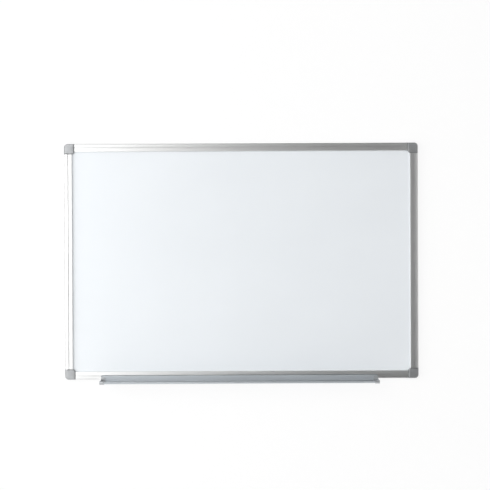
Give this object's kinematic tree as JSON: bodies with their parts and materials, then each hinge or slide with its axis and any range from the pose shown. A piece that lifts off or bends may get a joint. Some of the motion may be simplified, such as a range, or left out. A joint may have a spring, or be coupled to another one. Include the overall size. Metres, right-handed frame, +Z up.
{
  "type": "whiteboard",
  "caption": "Wall-mounted magnetic whiteboard with a grooved aluminium frame, moulded corner brackets under press-on covers and a sliding hook-in pen tray.",
  "frame": {"origin": "centre of the frame's outline, in the plane of the wall that the board hangs on", "axes": "+X to the right as the board is read, +Y into the wall, +Z up"},
  "size_m": [0.9, 0.0711, 0.6085],
  "materials": {
    "lacquered_face": "glossy white lacquer on steel",
    "core": "raw board",
    "galvanised_back": "galvanised",
    "rail": "satin anodised",
    "screw": "zinc plated",
    "corner_plastic": "fine moulded texture",
    "tray": "satin anodised",
    "cap_plastic": "fine moulded texture"
  },
  "bodies": {
    "board": {"writing_sheet": "lacquered_face", "core_board": "core", "back_sheet": "galvanised_back", "rail_bottom": "rail", "rail_right": "rail", "rail_top": "rail", "rail_left": "rail", "rail_screw_bottom_a": "screw", "rail_screw_bottom_b": "screw", "rail_screw_right_a": "screw", "rail_screw_right_b": "screw", "rail_screw_top_a": "screw", "rail_screw_top_b": "screw", "rail_screw_left_a": "screw", "rail_screw_left_b": "screw", "corner_bracket_bottom_left": "corner_plastic", "corner_bracket_bottom_right": "corner_plastic", "corner_bracket_top_right": "corner_plastic", "corner_bracket_top_left": "corner_plastic"},
    "tray": {"pen_tray": "tray", "tray_cap_left": "cap_plastic", "tray_cap_right": "cap_plastic"},
    "cover_bottom_left": {"corner_cover_bottom_left": "corner_plastic"},
    "cover_bottom_right": {"corner_cover_bottom_right": "corner_plastic"},
    "cover_top_right": {"corner_cover_top_right": "corner_plastic"},
    "cover_top_left": {"corner_cover_top_left": "corner_plastic"}
  },
  "joints": [
    {"name": "tray_slide", "type": "slide", "parent": "board", "child": "tray", "axis": [1, 0, 0], "range_m": [-0.065, 0.077]},
    {"name": "cover_bottom_left_pull", "type": "slide", "parent": "board", "child": "cover_bottom_left", "axis": [0, -1, 0], "range_m": [0, 0.025]},
    {"name": "cover_bottom_right_pull", "type": "slide", "parent": "board", "child": "cover_bottom_right", "axis": [0, -1, 0], "range_m": [0, 0.025]},
    {"name": "cover_top_right_pull", "type": "slide", "parent": "board", "child": "cover_top_right", "axis": [0, -1, 0], "range_m": [0, 0.025]},
    {"name": "cover_top_left_pull", "type": "slide", "parent": "board", "child": "cover_top_left", "axis": [0, -1, 0], "range_m": [0, 0.025]}
  ]
}
